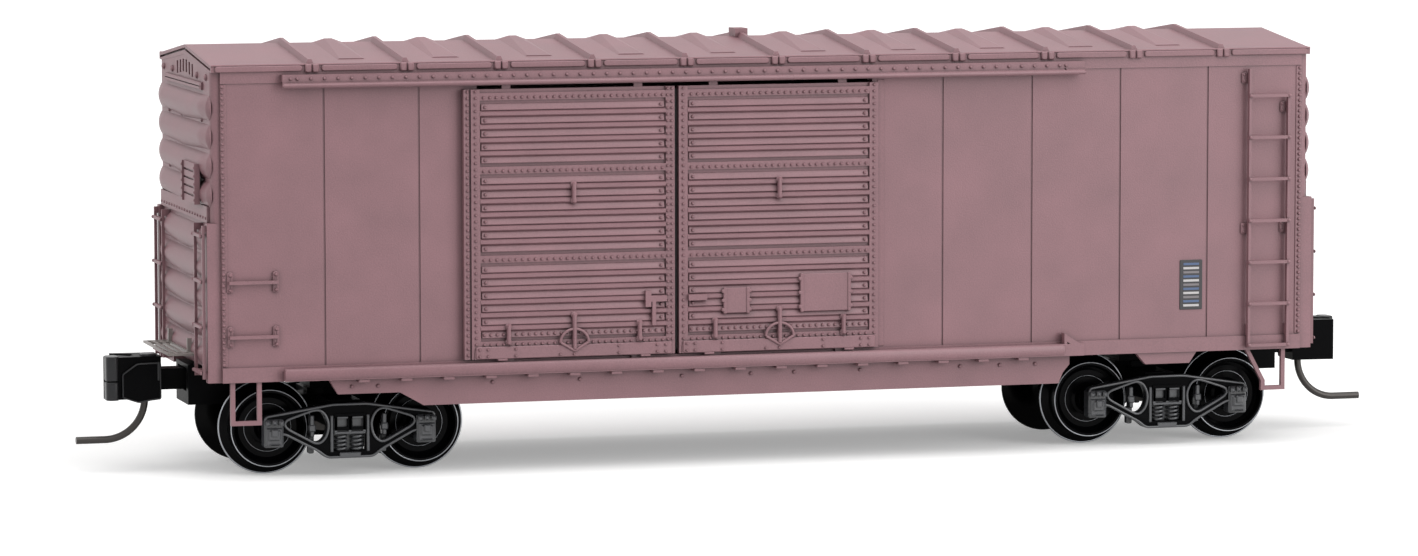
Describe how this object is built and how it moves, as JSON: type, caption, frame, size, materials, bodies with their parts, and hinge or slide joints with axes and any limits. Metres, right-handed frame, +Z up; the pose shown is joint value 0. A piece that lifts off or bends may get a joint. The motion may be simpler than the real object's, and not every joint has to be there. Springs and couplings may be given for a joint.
{
  "type": "model railroad boxcar",
  "caption": "Closed model boxcar with ribbed sliding doors on each side, ladders, ribbed ends and raised-seam roof, riding on swivelling trucks with spring-frame sides and hook couplers.",
  "frame": {"origin": "on the floor under the middle of the car, level with the lowest points of the wheel flanges", "axes": "+X along the car towards its hand brake end, +Y towards the rear side, +Z up"},
  "size_m": [0.0936, 0.0196, 0.0295],
  "materials": {
    "body_paint": "matt mineral purple-brown paint on moulded plastic",
    "black_plastic": "moulded black plastic with a low sheen",
    "wheel_black": "turned black wheels with polished rims",
    "ballast_steel": "cut ballast plate",
    "pin_steel": "blackened steel wire and pins",
    "platform_grey": "pale grey etched metal"
  },
  "bodies": {
    "car_body": {"roof": "body_paint", "floor_plate": "black_plastic", "body_bolsters": "black_plastic", "centre_sill": "black_plastic", "crossbearers": "black_plastic", "steel_weight": "ballast_steel", "brake_gear": "black_plastic", "brake_case": "body_paint", "brake_wheel": "body_paint", "side_wall_front": "body_paint", "side_wall_rear": "body_paint", "side_sill_front": "body_paint", "side_sill_rear": "body_paint", "upper_track_front": "body_paint", "upper_track_rear": "body_paint", "lower_track_front": "body_paint", "lower_track_rear": "body_paint", "side_ladder_front": "body_paint", "side_ladder_rear": "body_paint", "grab_irons_front": "body_paint", "grab_irons_rear": "body_paint", "steps_front": "body_paint", "steps_rear": "body_paint", "end_left": "body_paint", "end_right": "body_paint", "tack_board_left": "body_paint", "tack_board_right": "body_paint", "end_ladders_left": "body_paint", "end_ladders_right": "body_paint", "platform_left": "platform_grey", "platform_right": "platform_grey", "kingpin_left": "pin_steel", "kingpin_right": "pin_steel"},
    "door_left_front": {"door_left_front": "body_paint"},
    "door_left_rear": {"door_left_rear": "body_paint"},
    "door_right_front": {"door_right_front": "body_paint"},
    "door_right_rear": {"door_right_rear": "body_paint"},
    "truck_left": {"sideframes_left": "black_plastic", "truck_bolster_left": "black_plastic", "coupler_pocket_left": "black_plastic", "coupler_lid_left": "black_plastic"},
    "coupler_left": {"coupler_upper_left": "black_plastic", "coupler_lower_left": "black_plastic", "trip_pin_left": "pin_steel"},
    "wheelset_outer_left": {"wheelset_outer_left": "wheel_black"},
    "wheelset_inner_left": {"wheelset_inner_left": "wheel_black"},
    "truck_right": {"sideframes_right": "black_plastic", "truck_bolster_right": "black_plastic", "coupler_pocket_right": "black_plastic", "coupler_lid_right": "black_plastic"},
    "coupler_right": {"coupler_upper_right": "black_plastic", "coupler_lower_right": "black_plastic", "trip_pin_right": "pin_steel"},
    "wheelset_outer_right": {"wheelset_outer_right": "wheel_black"},
    "wheelset_inner_right": {"wheelset_inner_right": "wheel_black"}
  },
  "joints": [
    {"name": "door_left_front_slide", "type": "slide", "parent": "car_body", "child": "door_left_front", "axis": [-1, 0, 0], "range_m": [0, 0.012]},
    {"name": "door_left_rear_slide", "type": "slide", "parent": "car_body", "child": "door_left_rear", "axis": [1, 0, 0], "range_m": [0, 0.012]},
    {"name": "door_right_front_slide", "type": "slide", "parent": "car_body", "child": "door_right_front", "axis": [1, 0, 0], "range_m": [0, 0.0132]},
    {"name": "door_right_rear_slide", "type": "slide", "parent": "car_body", "child": "door_right_rear", "axis": [-1, 0, 0], "range_m": [0, 0.0132]},
    {"name": "truck_left_swivel", "type": "hinge", "parent": "car_body", "child": "truck_left", "pos_m": [-0.0294, 0, 0.0052], "axis": [0, 0, 1], "range_deg": [-15, 15]},
    {"name": "coupler_left_swing", "type": "hinge", "parent": "truck_left", "child": "coupler_left", "pos_m": [-0.0366, 0, 0.0063], "axis": [0, 0, 1], "range_deg": [-10, 10]},
    {"name": "wheelset_outer_left_spin", "type": "hinge", "parent": "truck_left", "child": "wheelset_outer_left", "pos_m": [-0.03465, 0, 0.00325], "axis": [0, 1, 0], "continuous": true},
    {"name": "wheelset_inner_left_spin", "type": "hinge", "parent": "truck_left", "child": "wheelset_inner_left", "pos_m": [-0.02415, 0, 0.00325], "axis": [0, 1, 0], "continuous": true},
    {"name": "truck_right_swivel", "type": "hinge", "parent": "car_body", "child": "truck_right", "pos_m": [0.0294, 0, 0.0052], "axis": [0, 0, 1], "range_deg": [-15, 15]},
    {"name": "coupler_right_swing", "type": "hinge", "parent": "truck_right", "child": "coupler_right", "pos_m": [0.0366, 0, 0.0063], "axis": [0, 0, 1], "range_deg": [-10, 10]},
    {"name": "wheelset_outer_right_spin", "type": "hinge", "parent": "truck_right", "child": "wheelset_outer_right", "pos_m": [0.03465, 0, 0.00325], "axis": [0, 1, 0], "continuous": true},
    {"name": "wheelset_inner_right_spin", "type": "hinge", "parent": "truck_right", "child": "wheelset_inner_right", "pos_m": [0.02415, 0, 0.00325], "axis": [0, 1, 0], "continuous": true}
  ]
}
